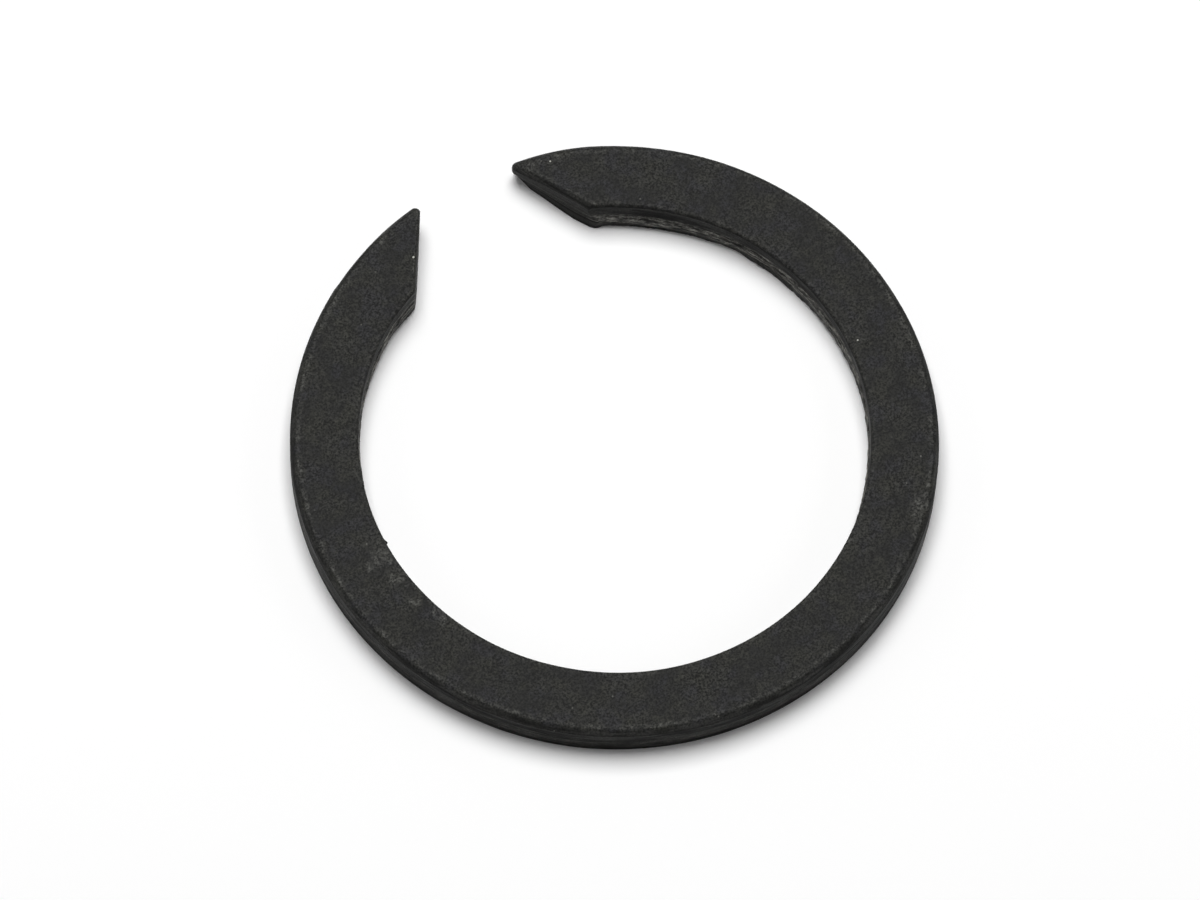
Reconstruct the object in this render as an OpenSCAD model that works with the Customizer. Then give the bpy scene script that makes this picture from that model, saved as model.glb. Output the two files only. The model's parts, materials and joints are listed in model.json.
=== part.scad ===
// Circlip retaining ring for a shaft groove.
// A flat split ring, blanked from spring steel strip, with wedge-cut pointed ends.
// It lies on z = 0 with the bore axis on +Z and the gap centred on +Y.

/* [Ring] */
// bore diameter, which closes on the shaft groove
bore_d = 30; // [26:0.5:45]
// radial width of the band
band_w = 4; // [3:0.1:5]
// thickness of the strip
ring_t = 2.2; // [1.6:0.1:3.5]

/* [Gap] */
// distance between the two sharp tip corners on the rim
gap_w = 5.5; // [3:0.1:7]
// slant of each end face from the gap's centre line
end_angle = 31; // [15:1:34]

/* [Edges] */
// rounding of each tip, seen from above
tip_r = 0.3; // [0.2:0.05:1.2]
// reach of the die roll over the top face and down the walls, at the rim, the tips and the end faces
roll_w = 0.38; // [0.1:0.02:0.4]
// height of the smooth sheared land of the rim wall, from the top face
land_h = 1; // [0.6:0.05:1.4]
// taper of the broken land below it, from the land to the bottom face
break_in = 0.06; // [0.02:0.01:0.3]

/* [Toes] */
// inward reach of the bore's toe at the end on +X
toe_a = 0.09; // [0.02:0.01:0.4]
// arc over which that toe runs out into the bore
toe_a_span = 17; // [8:1:30]
// inward reach of the bore's toe at the end on -X
toe_b = 0.05; // [0.02:0.01:0.4]
// arc over which that toe runs out into the bore
toe_b_span = 8; // [5:1:30]

/* [Hidden] */
$fn = 180;

// how far each cutter runs past the surface it cuts
over = 0.5;
steel = [0.17, 0.175, 0.17];

bore_r = bore_d / 2;
rim_r = bore_r + band_w;

// the sharp tip corner, and the end face's direction towards the bore and normal into the steel
tip_turn = asin(gap_w / 2 / rim_r);
tip = [gap_w / 2, rim_r * cos(tip_turn)];
face_dir = [sin(end_angle), -cos(end_angle)];
face_in = [cos(end_angle), sin(end_angle)];

// the die roll's arc is a little wider than its reach, so it leaves both faces at a slight edge
roll_r = 1.25 * roll_w;
roll_c = (roll_w + sqrt(2 * roll_r * roll_r - roll_w * roll_w)) / 2;

// length of the end face, from the sharp tip corner to the bore
along = -tip * face_dir;
face_l = along - sqrt(along * along - rim_r * rim_r + bore_r * bore_r);
corner = tip + face_l * face_dir;
corner_turn = atan2(corner[0], corner[1]);

// centre of the tip's rounding, which stands proud of the rim and the end face and so cuts across both
tip_proud = 0.01;
tip_in = tip_r - tip_proud;
tip_off = tip * face_in + tip_in;
tip_run = sqrt(pow(rim_r - tip_in, 2) - tip_off * tip_off);
tip_c = tip_off * face_in - tip_run * face_dir;
tip_from = atan2(tip_c[1], tip_c[0]);
tip_to = 180 + end_angle;
tip_past = norm(tip - tip_c) - tip_r + over;

// how far the gap's wedge runs past the rim and into the bore
wedge_out = (rim_r - tip[1] + over) / cos(end_angle);
wedge_in = face_l + 2;

retaining_ring();

module retaining_ring() {
  color(steel)
    difference() {
      union() {
        rotate_extrude() section();
        toe(toe_a, toe_a_span);
        mirror([1, 0, 0]) toe(toe_b, toe_b_span);
      }
      translate([0, 0, -over]) linear_extrude(height = ring_t + 2 * over) gap_plan();
      end_edges();
      mirror([1, 0, 0]) end_edges();
    }
}

// radial section: flat faces, straight bore wall, die roll above and a broken taper below on the rim
module section() {
  difference() {
    translate([bore_r, 0]) square([band_w, ring_t]);
    translate([rim_r, ring_t]) mirror([1, 0, 0]) roll_off();
    polygon([
      [rim_r, ring_t - land_h],
      [rim_r - break_in, 0],
      [rim_r - break_in, -over],
      [rim_r + over, -over],
      [rim_r + over, ring_t - land_h]
    ]);
  }
}

// what the die roll takes from an upper edge; the edge is at the origin, steel towards +X and -Y
module roll_off() {
  difference() {
    translate([-over, -roll_c]) square(roll_c + over);
    translate([roll_c, -roll_c]) circle(roll_r);
  }
}

// the bore struck again from a moved centre, so that it comes inwards towards the end on +X
module toe(reach, span) {
  start = corner_turn + span;
  shift = reach / sin(span);
  linear_extrude(height = ring_t)
    difference() {
      polygon([
        (bore_r - 2 * reach) * turned(corner_turn - 2),
        (bore_r + 1) * turned(corner_turn - 2),
        (bore_r + 1) * turned(start + 1),
        (bore_r - 2 * reach) * turned(start + 1)
      ]);
      translate(shift * turned(start + 90)) circle(bore_r);
    }
}

// unit vector at a clockwise turn from +Y
function turned(a) = [sin(a), cos(a)];

// the wedge between the end faces, narrow at the rim and wide at the bore
module gap_plan() {
  far = tip - wedge_out * face_dir;
  near = tip + wedge_in * face_dir;
  polygon([far, near, [-near[0], near[1]], [-far[0], far[1]]]);
}

// what comes off the end on +X: the die roll along the end face, and all that lies outside the tip's rounding
module end_edges() {
  translate(concat(tip - wedge_out * face_dir, ring_t))
    rotate([90, 0, end_angle])
      linear_extrude(height = wedge_out + wedge_in) roll_off();
  translate(concat(tip_c, ring_t))
    rotate([0, 0, tip_from])
      rotate_extrude(angle = tip_to - tip_from) tip_section();
}

// half section of the tip's cutter, kept to one side of its axis where the die roll reaches past the axis
module tip_section() {
  intersection() {
    translate([tip_r, 0]) {
      mirror([1, 0, 0]) roll_off();
      translate([0, -ring_t - over]) square([tip_past, ring_t + 2 * over]);
    }
    translate([0, -ring_t - over]) square([tip_r + tip_past, ring_t + 2 * over]);
  }
}
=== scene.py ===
import json
import math
from types import SimpleNamespace

import bmesh
import bpy
from mathutils import Matrix, Vector, noise


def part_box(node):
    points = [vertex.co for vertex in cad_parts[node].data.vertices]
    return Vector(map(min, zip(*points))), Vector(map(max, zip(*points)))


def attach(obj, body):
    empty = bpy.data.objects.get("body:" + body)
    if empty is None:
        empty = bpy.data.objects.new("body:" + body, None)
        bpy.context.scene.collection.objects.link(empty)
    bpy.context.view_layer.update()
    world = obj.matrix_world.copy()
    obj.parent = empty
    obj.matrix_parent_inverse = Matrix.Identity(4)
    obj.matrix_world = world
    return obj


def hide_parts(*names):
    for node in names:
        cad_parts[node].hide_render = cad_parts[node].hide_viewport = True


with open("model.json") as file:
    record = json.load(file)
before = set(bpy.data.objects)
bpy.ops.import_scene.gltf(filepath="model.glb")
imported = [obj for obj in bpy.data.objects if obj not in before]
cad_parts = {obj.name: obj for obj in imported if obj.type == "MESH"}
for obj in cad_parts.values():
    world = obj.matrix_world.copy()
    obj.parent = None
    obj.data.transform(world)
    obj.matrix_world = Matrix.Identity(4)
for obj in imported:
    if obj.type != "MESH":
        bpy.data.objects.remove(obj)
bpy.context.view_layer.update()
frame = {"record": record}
mm = 0.001

# the ring, in millimetres and degrees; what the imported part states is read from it
seat = next(m for m in frame["record"]["mounts"] if m["name"] == "groove_seat")
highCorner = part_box("retaining_ring")[1]
ring = {
    "boreRadius": seat["dims"]["r_mm"],
    "rimRadius": highCorner.x / mm,
    "thickness": highCorner.z / mm,
    "rollReach": 0.38,          # die roll over the top face and down the walls
    "rollRadius": 0.475,        # radius of its arc
    # between these turns the roll along the rim changes size, by this share
    "rollShares": ((38, 18, 0.35), (40, 60, -0.3), (78, 100, 0.3)),
    "boreEdge": 0.2,            # rounding of the bore's upper edge
    "landHeight": 0.95,         # smooth sheared land, down from the top face
    "landWander": (0.12, 3),    # how far that height wanders on the bore, and over what length
    "striation": 0.02,          # depth of the drawn lines on the walls
    "lineSpacing": 0.3,         # between those lines, up the wall
    "tear": 0.05,               # roughness of the broken land
    "tearSizes": ((0.45, 0.3), (0.2, 0.16)),    # its coarse and fine facets on the bore, along and up
    "ledge": 0.17,              # how far the bore's broken land stands in below the smooth land
    "ledgeWander": (0.75, 0.35, 4),     # its middle share, how far that swings, and over what length
    "ledgeFoot": (1.6, 0.75),   # the depth from which it draws back, and by what share
    "lip": (0.13, 56, 61, 72, 88),      # a lip low on the bore: its reach, and the turns of its ends
    "ragged": (0.06, 0.5),      # ragged foot of the bore wall: its reach and length
    "rimTear": 0.12,            # roughness of the rim's broken land and of the end faces, as shares
    "faceTear": 0.4,
    "faceFade": 0.35,           # how far into the steel an end face's shape carries
    "flat": (16.7, 31.4, 0.05),     # a shallow flat on the rim by the gap: its two turns and depth
    "flatRidge": 0.02,          # how far the rim stands proud where the flat ends
    "stepsAlong": 1030,         # loops round the ring between the dense stretches
    "endStretch": 1.4,          # length of the dense stretch at each end
    "endSteps": 26,
    "rollSteps": 8,
    "stepsUp": 22,
}

# both end faces turn further in along the last stretch at the tip: by how much, over what length
tipLean = (0.45, 1.4)

# the two ends, the one on +X first; they were cut alike and differ a little
ends = (
    {
        "halfGap": 2.86,            # from the gap's middle to the sharp tip corner
        "endAngle": 30.0,           # slant of the end face from the gap's centre line
        "tipRadius": 0.34,          # rounding of the tip, seen from above
        "faceRoll": 0.8,            # size of the die roll along the face, as a share of the rim's
        "tipSink": (0.5, 5.5),      # how far the tip's upper side droops, and over what length
        "faceLean": (0.26, 0.095),  # lower edge of the face: inset at the tip, less this for each mm along
        "cornerStart": 5.3,         # where the face starts to turn into the bore, along it
        "toe": (0.47, 35.0),        # how far the bore's lower edge comes in at the end, over what arc
    },
    {
        "halfGap": 2.7,
        "endAngle": 31.9,
        "tipRadius": 0.36,
        "faceRoll": 0.4,
        "tipSink": (0.04, 3.0),
        "faceLean": (0.05, 0.02),
        "cornerStart": 5.5,
        "toe": (0.2, 8.5),
    },
)

# small burrs on the walls: which wall, turn or run along it, depth from the top, radius, reach
burrs = (
    ("bore", -88.1, 0.15, 0.22, 0.16),
    ("bore", 63.0, 2.0, 0.3, 0.08),
    ("rightFace", 0.3, 1.8, 0.3, 0.2),
    ("leftFace", 0.95, 0.8, 0.18, 0.08),
    ("leftFace", 1.9, 0.8, 0.15, 0.06),
    ("leftFace", 3.1, 1.2, 0.25, 0.05),
)

rimR, boreR, thick = ring["rimRadius"], ring["boreRadius"], ring["thickness"]
rollC = (ring["rollReach"] + math.sqrt(2 * ring["rollRadius"] ** 2 - ring["rollReach"] ** 2)) / 2


def turned(angle, radius):      # a clockwise turn from +Y, seen from above
    return Vector((math.sin(angle), math.cos(angle))) * radius


def ease(low, high, x):
    t = min(max((x - low) / (high - low), 0.0), 1.0)
    return t * t * (3 - 2 * t)


def grain(seed, *place):
    return noise.noise(Vector((*place, 0.0)[:2] + (seed * 7.31,)))


def endShape(end):              # plan of an end, drawn as if on +X
    slant = math.radians(end["endAngle"])
    tipTurn = math.asin(end["halfGap"] / rimR)
    sharp = turned(tipTurn, rimR)
    along = Vector((math.sin(slant), -math.cos(slant)))
    into = Vector((math.cos(slant), math.sin(slant)))
    run = -sharp.dot(along)
    corner = sharp + along * (run - math.sqrt(run ** 2 - rimR ** 2 + boreR ** 2))
    tipR = end["tipRadius"]
    off = sharp.dot(into) + tipR
    centre = into * off - along * math.sqrt((rimR - tipR) ** 2 - off ** 2)
    return SimpleNamespace(
        sharp=sharp, along=along, into=into, tipTurn=tipTurn, cornerTurn=math.atan2(corner.x, corner.y),
        tipR=tipR, tipCentre=centre, tipFrom=math.atan2(centre.y, centre.x),
        tipTo=math.pi + slant, **end)


shapes = [endShape(end) for end in ends]


def stations():                 # shares of the way round, dense at both ends
    length = (math.pi * 2 - shapes[0].cornerTurn - shapes[1].cornerTurn) * boreR
    dense = ring["endStretch"] / length
    n, m = ring["endSteps"], ring["stepsAlong"]
    start = [dense * (i / n) ** 1.5 for i in range(n)]
    middle = [dense + (1 - 2 * dense) * i / m for i in range(m + 1)]
    return start + middle + [1 - s for s in reversed(start)]


def lanes():                    # shares of the way from bore to rim, dense at both edges
    width = rimR - boreR
    edge = [0.0, 0.015, 0.05, 0.11, 0.2]
    low = math.asin((rollC - ring["rollReach"]) / ring["rollRadius"])
    high = math.asin(rollC / ring["rollRadius"])
    n = ring["rollSteps"]
    angles = [low + (high - low) * i / n for i in range(n + 1)]
    roll = [width - rollC + ring["rollRadius"] * math.sin(angle) for angle in angles]
    middle = [edge[-1] + (roll[0] - 0.06 - edge[-1]) * i / 5 for i in range(1, 6)]
    return [x / width for x in edge + middle + roll]


def toeReach(turn, depth):
    total = 0.0
    for shape, gone in zip(shapes, (turn, math.pi * 2 - turn)):
        reach, span = shape.toe
        run = math.degrees(gone - shape.cornerTurn) / span
        if run < 1:
            total += reach * (1 - max(run, 0.0) ** 2)
    return total * (0.25 + 0.75 * ease(0.2, 1.5, depth))


def burrReach(wall, where, depth):
    total = 0.0
    for name, place, low, radius, reach in burrs:
        if name == wall:
            unit = boreR * math.radians(1) if name == "bore" else 1.0
            off = math.hypot((where - place) * unit, depth - low) / radius
            total += reach * ease(1.0, 0.0, off) if off < 1 else 0.0
    return total


def drawnLines(seed, along, depth):     # long shallow lines, wandering a little up and down
    spacing = ring["lineSpacing"]
    drift = 0.8 * spacing * grain(seed + 20, along / 7)
    wide = grain(seed, along / 6, (depth + drift) / spacing)
    fine = grain(seed + 1, along / 2.5, (depth + drift) / spacing * 2.3)
    return ring["striation"] * (wide + 0.5 * fine)


def boreStand(turn, z):         # how far the bore wall stands inwards
    along, depth = turn * boreR, thick - z
    degrees = math.degrees(turn)
    middle, swing, length = ring["ledgeWander"]
    torn = middle + swing * grain(2, along / length)
    swing, length = ring["landWander"]
    start = ring["landHeight"] + swing * grain(12, along / length)
    footFrom, footShare = ring["ledgeFoot"]
    ledge = ring["ledge"] * torn * ease(start, start + 0.3, depth) \
        * (1 - footShare * ease(footFrom, thick, depth))
    (long, high), (shortLong, shortHigh) = ring["tearSizes"]
    rough = ring["tear"] * (grain(3, along / long, depth / high)
                            + 0.6 * grain(13, along / shortLong, depth / shortHigh))
    rough *= ease(start, start + 0.25, depth)
    reach, risesFrom, risesTo, fallsFrom, fallsTo = ring["lip"]
    lip = reach * ease(risesFrom, risesTo, degrees) * ease(fallsTo, fallsFrom, degrees) \
        * ease(1.5, 2.1, depth)
    reach, length = ring["ragged"]
    ragged = reach * max(0.0, grain(5, along / length)) * ease(1.7, 2.1, depth)
    burr = burrReach("bore", degrees if degrees < 180 else degrees - 360, depth)
    return toeReach(turn, depth) + drawnLines(1, along, depth) + ledge + rough + lip + ragged + burr


def rimInset(turn, z):          # how far the rim wall lies inside its full radius
    along, depth = turn * rimR, thick - z
    start, stop, deep = ring["flat"]
    back = 360 - math.degrees(turn)
    flat = deep * ease(start, start + 5, back) * ease(stop, stop - 1.5, back) \
        - ring["flatRidge"] * ease(stop + 4, stop, back) * ease(stop - 1, stop, back)
    rough = ring["tear"] * ring["rimTear"] * (1 + grain(7, along / 0.5, depth / 0.3)) * ease(1.0, 1.4, depth)
    return 0.5 * ring["striation"] + 0.6 * drawnLines(6, along, depth) + rough + flat


def faceInset(shape, run, z):   # how far an end face lies inside its plane, at a run from the sharp tip
    depth = thick - z
    tipInset, perMillimetre = shape.faceLean
    more, length = tipLean
    lean = tipInset - perMillimetre * min(run, shape.cornerStart) + more * ease(length, 0.0, run)
    lean *= ease(0.5, thick, depth)
    turn = max(run - shape.cornerStart, 0.0) ** 2 / 7 * ease(0.3, 1.8, depth)
    rough = ring["tear"] * ring["faceTear"] * grain(9, run / 0.4, depth / 0.3) * ease(0.9, 1.3, depth)
    burr = burrReach("leftFace" if shape is shapes[1] else "rightFace", run, depth)
    return lean + turn + rough + drawnLines(8, run, depth) - burr


# draws the sharp tip's steel in to its rounding; also gives the distance inside it, and the share of
# the way round it from the rim to the face
def roundTip(shape, p):
    rel = p - shape.tipCentre
    angle = math.atan2(rel.y, rel.x) % (math.pi * 2)
    if rel.length < 1e-9 or not shape.tipFrom < angle < shape.tipTo:
        return p, None, 0.0
    way = rel.normalized()
    toFace = shape.tipR / -way.dot(shape.into) if way.dot(shape.into) < -1e-6 else math.inf
    ahead = shape.tipCentre.dot(way)
    toRim = -ahead + math.sqrt(ahead ** 2 - shape.tipCentre.length_squared + rimR ** 2)
    rel = rel * (shape.tipR / min(toFace, toRim))
    around = (angle - shape.tipFrom) / (shape.tipTo - shape.tipFrom)
    return shape.tipCentre + rel, shape.tipR - rel.length, around


def rollShare(turn):            # size of the die roll at a turn, as a share of its usual size
    return 1 + sum(more * ease(low, high, math.degrees(turn)) for low, high, more in ring["rollShares"])


def rollDrop(share, d):         # how far the die roll takes the top face down, at a distance inside
    d = max(d, 0.0) / share
    if d >= ring["rollReach"]:
        return 0.0
    return share * (rollC - math.sqrt(ring["rollRadius"] ** 2 - (rollC - d) ** 2))


def edgeDrop(d):                # the same for the rounding of the bore's edge
    radius = ring["boreEdge"]
    return radius - math.sqrt(radius ** 2 - (radius - d) ** 2) if d < radius else 0.0


def bendPoint(s, v, w):         # shares of the way round, across and up, to a place on the ring
    right, left = shapes
    shape, side = (right, 1) if s < 0.5 else (left, -1)
    boreTurn = right.cornerTurn + s * (math.pi * 2 - right.cornerTurn - left.cornerTurn)
    rimTurn = right.tipTurn + s * (math.pi * 2 - right.tipTurn - left.tipTurn)
    bore, rim = turned(boreTurn, boreR), turned(rimTurn, rimR)
    z = w * thick
    width = (rim - bore).length
    slope = (rim - bore).dot(rim) / width / rimR
    share = v - (1 - v) * boreStand(boreTurn, z) / width / slope - v * rimInset(rimTurn, z) / width
    p = bore + (rim - bore) * share
    p.x *= side
    rolled = [(rollShare(boreTurn), rimR - p.length)]
    sink = 0.0
    if min(s, 1 - s) < 0.1:
        toFace = (p - shape.sharp).dot(shape.into)
        run = (p - shape.sharp).dot(shape.along)
        p, inTip, around = roundTip(shape, p)
        p += shape.into * faceInset(shape, run, z) * math.exp(-max(toFace, 0.0) / ring["faceFade"])
        p *= min(1.0, (rimR - rimInset(rimTurn, z)) / p.length)
        if inTip is None:
            rolled.append((shape.faceRoll, toFace))
        else:
            rolled = [(rolled[0][0] * (1 - around) + shape.faceRoll * around, inTip)]
        depth, reach = shape.tipSink
        sink = depth * max(0.0, 1 - (p - shape.sharp).length / reach) ** 2
    p.x *= side
    drop = max(rollDrop(share, d) for share, d in rolled)
    inside = min(max(d, 0.0) / share for share, d in rolled)
    z = w * (thick - drop - edgeDrop(v * (rimR - boreR)) - sink)
    return Vector((p.x, p.y, z)), inside, (boreTurn + rimTurn) / 2 * boreR


def cutStrip(counts):           # a straight bar of unit size, cut into strips each way
    bm = bmesh.new()
    bmesh.ops.create_cube(bm, size=1.0)
    bmesh.ops.translate(bm, verts=bm.verts, vec=(0.5, 0.5, 0.5))
    for axis, count in enumerate(counts):
        edges = [e for e in bm.edges if abs(e.verts[1].co[axis] - e.verts[0].co[axis]) > 1e-6]
        bmesh.ops.subdivide_edges(bm, edges=edges, cuts=count - 1, use_grid_fill=True)
    return bm


def makeRing():                 # the bar is bent round, its walls, die roll and tips worked as it goes
    steps = stations(), lanes(), [i / ring["stepsUp"] for i in range(ring["stepsUp"] + 1)]
    counts = [len(x) - 1 for x in steps]
    bm = cutStrip(counts)
    strip = bm.verts.layers.float_vector.new("strip")
    lands = bm.verts.layers.float_vector.new("lands")
    for vert in bm.verts:
        i, j, k = (round(c * n) for c, n in zip(vert.co, counts))
        s, v, w = steps[0][i], steps[1][j], steps[2][k]
        place, inside, along = bendPoint(s, v, w)
        onWall = 1.0 if j in (0, counts[1]) or i in (0, counts[0]) else 0.0
        vert[strip] = (along, place.z, v * (rimR - boreR))
        vert[lands] = (inside, onWall, thick - place.z)
        vert.co = place * mm
    bmesh.ops.recalc_face_normals(bm, faces=bm.faces)
    mesh = bpy.data.meshes.new("retainingRingSteel")
    bm.to_mesh(mesh)
    bm.free()
    for face in mesh.polygons:
        face.use_smooth = True
    mesh.set_sharp_from_angle(angle=math.radians(50))
    piece = bpy.data.objects.new("retaining_ring_steel", mesh)
    bpy.context.scene.collection.objects.link(piece)
    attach(piece, "root")
    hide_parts("retaining_ring")
    print("ring:", len(mesh.polygons) * 2, "triangles")
    return piece


def hexColour(code):            # sRGB hex to linear, with full alpha
    parts = [int(code[i:i + 2], 16) / 255 for i in (1, 3, 5)]
    return [c / 12.92 if c <= 0.04045 else ((c + 0.055) / 1.055) ** 2.4 for c in parts] + [1.0]


def addNode(tree, kind, inputs=None, **settings):
    node = tree.nodes.new(kind)
    for name, value in settings.items():
        setattr(node, name, value)
    for name, value in (inputs or {}).items():
        if isinstance(value, bpy.types.NodeSocket):
            tree.links.new(value, node.inputs[name])
        else:
            node.inputs[name].default_value = value
    return node


def newMaterial(name):
    material = bpy.data.materials.new(name)
    material.use_nodes = True
    material.node_tree.nodes.clear()
    return material, material.node_tree


# black phosphated spring steel, tumbled and lightly oiled: a matt charcoal crust of fine crystals,
# mottled olive and blue where the oil has dried, with drawn lines on the sheared walls, pale lines
# along the edges that are painted highlight and rubbed crystals both, and painted shade on the die roll and
# the bore's edge
coat = {
    "dark": "#161615",
    "pale": "#272725",
    "olive": "#272722",
    "blue": "#232327",
    "wall": "#1c1c1b",
    # pale of scraped facets on the torn band, and of painted light that its rough facets catch
    "torn": "#74736e",
    # pale of rubbed crystals in the scuffs, and of the painted highlight at the die roll's start and along
    # the bore's edge
    "wearAndHighlight": "#4a4a47",
    # bright crystals and lint, and painted glints on the torn band's facets
    "speck": "#b4b4ac",
    "cloudSize": 1.9,           # mm
    "tintSize": 1.3,
    "grainSize": 0.12,          # the crystals are ten times finer, drawn coarse enough to show
    "lineSpacing": 0.42,
    "lineLength": 3.5,
    "tornSize": (0.9, 0.14),    # along and up the wall
    "speckSpacing": 0.8,
    "scuffShare": 0.65,         # how far a scuff's middle goes to the rubbed colour
    "roughness": 0.56,
    "specular": 0.085,
    "grainDepth": 0.02,
    "lineDepth": 0.09,
    "tornDepth": 0.05,
}

# lint and bare crystals that show on the upper face, in mm across the ring's own frame
lint = (
    (-4.88, 15.73, 0.075),
    (5.24, 17.48, 0.06),
    (15.55, -1.31, 0.06),
)

# where the upper face is rubbed pale: middle and size
scuffs = (
    (-15.75, -0.3, 0.95),
    (-16.3, -0.6, 0.7),
    (-15.35, -1.9, 0.7),
    (-15.4, -3.7, 0.5),
    (-14.5, -5.3, 0.6),
    (13.6, -12.4, 0.9),
)


def phosphatedSteel():
    material, tree = newMaterial("blackPhosphatedSpringSteel")

    def ramp(value, low, high, lowTo=0.0, highTo=1.0):
        return addNode(tree, "ShaderNodeMapRange", {
            "Value": value, "From Min": low, "From Max": high, "To Min": lowTo, "To Max": highTo,
        }, interpolation_type="SMOOTHSTEP").outputs[0]

    def maths(operation, a, b):
        return addNode(tree, "ShaderNodeMath", {0: a, 1: b}, operation=operation).outputs[0]

    def blend(share, a, b):
        inputs = {"Factor": share, 6: a, 7: b}
        return addNode(tree, "ShaderNodeMix", inputs, data_type="RGBA").outputs[2]

    def lighten(colour, factor):
        inputs = {0: colour, "Scale": factor}
        return addNode(tree, "ShaderNodeVectorMath", inputs, operation="SCALE").outputs[0]

    def mapped(vector, scale, shift=(0, 0, 0)):
        inputs = {"Vector": vector, "Scale": scale, "Location": shift}
        return addNode(tree, "ShaderNodeMapping", inputs).outputs[0]

    def cloud(size, detail, vector, roughness=0.55):
        return addNode(tree, "ShaderNodeTexNoise", {
            "Vector": vector, "Scale": 1 / size, "Detail": detail, "Roughness": roughness,
        }).outputs[0]

    def near(spot, x, y, low, high):    # 1 within the inner distance of a place, 0 past the outer one
        away = addNode(tree, "ShaderNodeVectorMath", {0: spot, 1: (x, y, 0)}, operation="DISTANCE")
        return ramp(away.outputs["Value"], high, low)

    object3d = addNode(tree, "ShaderNodeTexCoord").outputs["Object"]
    place = mapped(object3d, (1 / mm, 1 / mm, 1 / mm))
    plan = mapped(place, (1, 1, 0))
    strip = addNode(tree, "ShaderNodeAttribute", attribute_name="strip").outputs["Vector"]
    lands = addNode(tree, "ShaderNodeAttribute", attribute_name="lands").outputs["Vector"]
    inside, wall, depth = addNode(tree, "ShaderNodeSeparateXYZ", {"Vector": lands}).outputs
    fromBore = addNode(tree, "ShaderNodeSeparateXYZ", {"Vector": strip}).outputs[2]

    clouds = cloud(coat["cloudSize"], 4, place)
    tints = cloud(coat["tintSize"], 3, mapped(place, (1, 1, 1), (30, 0, 0)))
    crystals = cloud(coat["grainSize"], 2, place, 0.65)
    flecks = cloud(coat["grainSize"] * 2.6, 3, mapped(place, (1, 1, 1), (0, 40, 0)))
    colour = blend(ramp(clouds, 0.34, 0.66), hexColour(coat["dark"]), hexColour(coat["pale"]))
    colour = blend(ramp(tints, 0.52, 0.64, 0, 0.4), colour, hexColour(coat["olive"]))
    colour = blend(ramp(tints, 0.48, 0.36, 0, 0.4), colour, hexColour(coat["blue"]))
    grainy = maths("MULTIPLY", ramp(crystals, 0.3, 0.7, 0.15, 2.1), ramp(flecks, 0.3, 0.7, 0.85, 1.15))

    # the upper face is painted pale where the die roll starts and along the bore's edge, as painted
    # highlight and rubbed crystals both, and is rubbed pale in a few scuffs
    speckled = ramp(flecks, 0.4, 0.64, 0.25, 1)
    # painted highlight: a pale line just inside where the die roll starts
    rollStartHighlight = maths("MULTIPLY", ramp(inside, 0.28, 0.4), ramp(inside, 0.7, 0.45))
    rollStartHighlight = maths("MULTIPLY", rollStartHighlight, ramp(tints, 0.42, 0.58, 0.5, 1.4))
    wearAndHighlight = maths("MAXIMUM", maths("MULTIPLY", rollStartHighlight, 0.35), ramp(fromBore, 0.4, 0.15, 0, 0.2))
    drift = addNode(tree, "ShaderNodeTexNoise", {"Vector": place, "Scale": 1.1, "Detail": 3})
    drift = mapped(drift.outputs["Color"], (2, 2, 0), (-1, -1, 0))      # up to a millimetre each way
    ragged = addNode(tree, "ShaderNodeVectorMath", {0: drift, 1: plan}).outputs[0]
    for x, y, size in scuffs:
        scuffed = maths("MULTIPLY", near(ragged, x, y, 0.1 * size, size), coat["scuffShare"])
        wearAndHighlight = maths("MAXIMUM", wearAndHighlight, scuffed)
    colour = blend(maths("MULTIPLY", wearAndHighlight, speckled), colour, hexColour(coat["wearAndHighlight"]))

    # sheared walls: long drawn lines all over, their pale and dark partly painted shade of the grooves,
    # darker towards the foot; on the bore the smooth land is painted dark as shade, and the torn band below
    # is painted pale, partly scraped facets and partly painted light on its rough facets
    lineMap = mapped(strip, (1 / coat["lineLength"], 1 / coat["lineSpacing"], 0))
    lines = cloud(1.0, 4, lineMap, 0.7)
    # drawn lines as pale and dark stripes, partly painted shade of their grooves
    wallColour = lighten(hexColour(coat["wall"])[:3], ramp(lines, 0.43, 0.59, 0.3, 2.5))
    tornLength, tornHeight = coat["tornSize"]
    facets = cloud(1.0, 4, mapped(strip, (1 / tornLength, 1 / tornHeight, 0)), 0.7)
    onBore = ramp(fromBore, 0.5, 0.1, 0.3, 1)
    tornBand = maths("MULTIPLY", ramp(depth, 0.85, 1.1), ramp(depth, 1.9, 1.55))
    streaks = maths("MULTIPLY", ramp(facets, 0.42, 0.66), ramp(lines, 0.3, 0.55, 0.4, 1))
    boreBand = maths("MULTIPLY", tornBand, onBore)
    # the torn band painted pale: scraped facets, and painted light on its rough facets
    wallColour = blend(maths("MULTIPLY", boreBand, streaks), wallColour, hexColour(coat["torn"]))
    # the walls darker towards the foot and the bore's wall lighter than the rim's; painted shade darkens the
    # bore's smooth land
    level = maths("MULTIPLY", ramp(inside, 0.0, 0.1, 1, 1.5), ramp(depth, 1.6, 1.9, 1, 0.7))
    boreLandShade = maths("MAXIMUM", ramp(depth, 0.8, 1.1, 0.7, 1), ramp(fromBore, 0.1, 0.5))
    wallColour = lighten(wallColour, maths("MULTIPLY", level, boreLandShade))
    # the walls take the wall colour, and so does the die roll's outer part: its drawn lines, and its
    # darkness painted shade along the edges
    wallsAndShadedRoll = maths("MAXIMUM", wall, ramp(inside, 0.3, 0.12, 0, 0.7))
    wallColour = lighten(wallColour, ramp(crystals, 0.3, 0.7, 0.6, 1.4))
    colour = blend(wallsAndShadedRoll, lighten(colour, grainy), wallColour)
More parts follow.
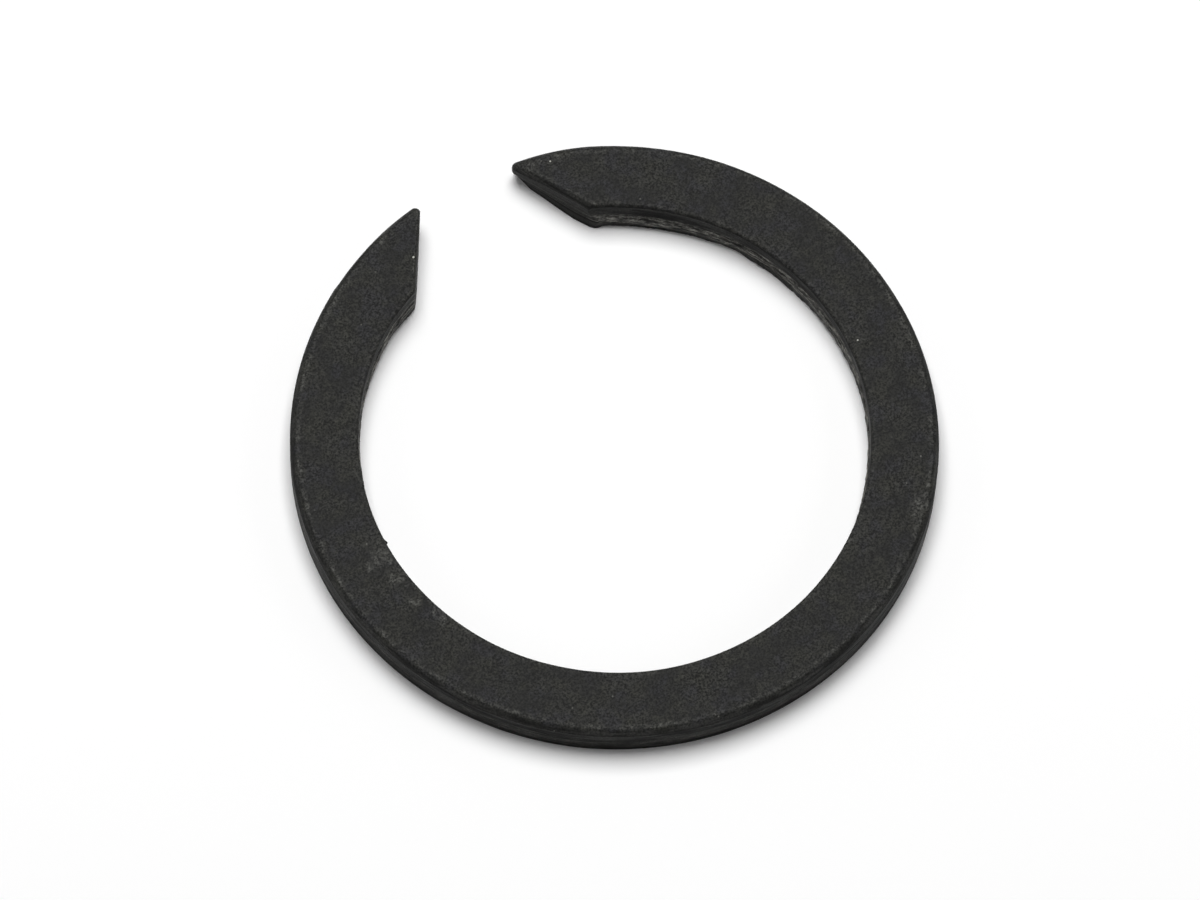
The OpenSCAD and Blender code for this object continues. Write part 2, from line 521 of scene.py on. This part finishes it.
    # painted shade: a dark line on the bore's rounded upper edge, where it turns away
    colour = lighten(colour, maths("MAXIMUM", ramp(fromBore, 0.0, 0.1, 0.6, 1), wall))

    # single bright crystals; on the torn band closer-set bright facets, painted glints; and the lint
    cells = addNode(tree, "ShaderNodeTexVoronoi", {"Vector": place, "Scale": 1 / coat["speckSpacing"]})
    chance = addNode(tree, "ShaderNodeSeparateColor", {"Color": cells.outputs["Color"]}).outputs[0]
    shown = maths("MULTIPLY", maths("MULTIPLY", boreBand, wall), ramp(chance, 0.4, 1.0, 0, 0.7))
    shown = maths("MAXIMUM", shown, ramp(chance, 0.75, 1.0, 0, 0.25))
    specksAndGlints = maths("MULTIPLY", ramp(cells.outputs["Distance"], 0.085, 0.055), shown)
    for x, y, size in lint:
        specksAndGlints = maths("MAXIMUM", specksAndGlints, near(plan, x, y, 0.7 * size, size))
    colour = blend(specksAndGlints, colour, hexColour(coat["speck"]))

    height = maths("MULTIPLY", crystals, coat["grainDepth"])
    wallHeight = maths("ADD", maths("MULTIPLY", lines, coat["lineDepth"]),
                       maths("MULTIPLY", maths("MULTIPLY", facets, tornBand), coat["tornDepth"]))
    height = maths("ADD", height, maths("MULTIPLY", wallHeight, wall))
    bump = addNode(tree, "ShaderNodeBump", {"Height": height, "Strength": 1.0, "Distance": mm})
    sheen = ramp(clouds, 0.3, 0.7, coat["roughness"] - 0.05, coat["roughness"] + 0.07)
    shader = addNode(tree, "ShaderNodeBsdfPrincipled", {
        "Base Color": colour, "Roughness": sheen, "Specular IOR Level": coat["specular"],
        "Normal": bump.outputs[0],
    })
    addNode(tree, "ShaderNodeOutputMaterial", {"Surface": shader.outputs[0]})
    return material


floor = {
    "size": 0.9,
    "drop": 0.00001,
    "white": "#fdfdfd",
    "lift": 0.03,               # glow that brings the open floor up to paper white
}


def makeFloor():                # a white sheet
    bm = bmesh.new()
    bmesh.ops.create_grid(bm, x_segments=1, y_segments=1, size=floor["size"])
    bmesh.ops.translate(bm, verts=bm.verts, vec=(0, 0, -floor["drop"]))
    mesh = bpy.data.meshes.new("floor")
    bm.to_mesh(mesh)
    bm.free()
    sheet = bpy.data.objects.new("floor", mesh)
    bpy.context.scene.collection.objects.link(sheet)
    material, tree = newMaterial("whitePaper")
    seen = addNode(tree, "ShaderNodeLightPath").outputs["Is Camera Ray"]
    glow = addNode(tree, "ShaderNodeMath", {0: seen, 1: floor["lift"]}, operation="MULTIPLY").outputs[0]
    shader = addNode(tree, "ShaderNodeBsdfPrincipled", {
        "Base Color": hexColour(floor["white"]), "Roughness": 1.0, "Specular IOR Level": 0.0,
        "Emission Color": (1, 1, 1, 1), "Emission Strength": glow,
    })
    addNode(tree, "ShaderNodeOutputMaterial", {"Surface": shader.outputs[0]})
    mesh.materials.append(material)
    print("floor laid")


view = {
    "azimuth": -31.4,           # the gap lies up and to the left in the picture
    "elevation": 65.58,
    "roll": 2.95,
    "distance": 0.76,
    "frameWidth": 1200,         # pixels
    "scale": 323.95,            # pixels per rim radius
    "target": (-0.0433, 0.0029),    # the picture's centre from the ring's, in rim radii, across and away
}


def makeCamera():
    azimuth, elevation, roll = (math.radians(view[k]) for k in ("azimuth", "elevation", "roll"))
    back = Vector((math.sin(azimuth) * math.cos(elevation), -math.cos(azimuth) * math.cos(elevation),
                   math.sin(elevation)))
    across = Vector((math.cos(azimuth), math.sin(azimuth), 0))
    away = Vector((-math.sin(azimuth), math.cos(azimuth), 0))
    target = (across * view["target"][0] + away * view["target"][1]) * rimR * mm
    up = back.cross(across)
    right = across * math.cos(roll) + up * math.sin(roll)
    up = up * math.cos(roll) - across * math.sin(roll)
    data = bpy.data.cameras.new("camera")
    data.sensor_width = 36.0
    data.lens = view["scale"] * view["distance"] / (rimR * mm) / view["frameWidth"] * data.sensor_width
    data.clip_end = 10
    camera = bpy.data.objects.new("camera", data)
    bpy.context.scene.collection.objects.link(camera)
    turn = Matrix((right, up, back)).transposed().to_4x4()
    camera.matrix_world = Matrix.Translation(target + back * view["distance"]) @ turn
    bpy.context.scene.camera = camera
    print("camera set, lens", round(data.lens, 1))
    return across, away


lamps = {
    # name: (across, away, up) in metres from the ring, size in metres, power in watts
    "overhead": ((-0.03, 0.21, 0.54), 0.4, 3.58),
    "leftPanel": ((-0.5, 0.0, 0.22), 0.35, 0.25),
    "rightPanel": ((0.5, 0.0, 0.22), 0.35, 0.32),
}
worldLevel = 0.08       # the white surround gives the ring and the floor this much, and is seen as white


def makeLight(across, away):
    for name, ((x, y, z), size, power) in lamps.items():
        data = bpy.data.lights.new(name, "AREA")
        data.size = size
        data.energy = power
        lamp = bpy.data.objects.new(name, data)
        lamp.location = across * x + away * y + Vector((0, 0, z))
        lamp.rotation_euler = lamp.location.to_track_quat("Z", "Y").to_euler()
        bpy.context.scene.collection.objects.link(lamp)
    world = bpy.data.worlds.new("studio")
    world.use_nodes = True
    world.node_tree.nodes.clear()
    tree = world.node_tree
    path = addNode(tree, "ShaderNodeLightPath").outputs
    shown = path["Is Camera Ray"]
    for ray in ("Is Transmission Ray", "Is Glossy Ray"):
        shown = addNode(tree, "ShaderNodeMath", {0: shown, 1: path[ray]}, operation="MAXIMUM").outputs[0]
    level = addNode(tree, "ShaderNodeMapRange", {"Value": shown, "To Min": worldLevel, "To Max": 1.0})
    sky = addNode(tree, "ShaderNodeBackground", {"Color": (1, 1, 1, 1), "Strength": level.outputs[0]})
    addNode(tree, "ShaderNodeOutputWorld", {"Surface": sky.outputs[0]})
    bpy.context.scene.world = world
    bpy.context.scene.view_settings.view_transform = "Standard"
    print("lit by", ", ".join(lamps))


ringPiece = makeRing()
ringPiece.data.materials.append(phosphatedSteel())
makeFloor()
makeLight(*makeCamera())
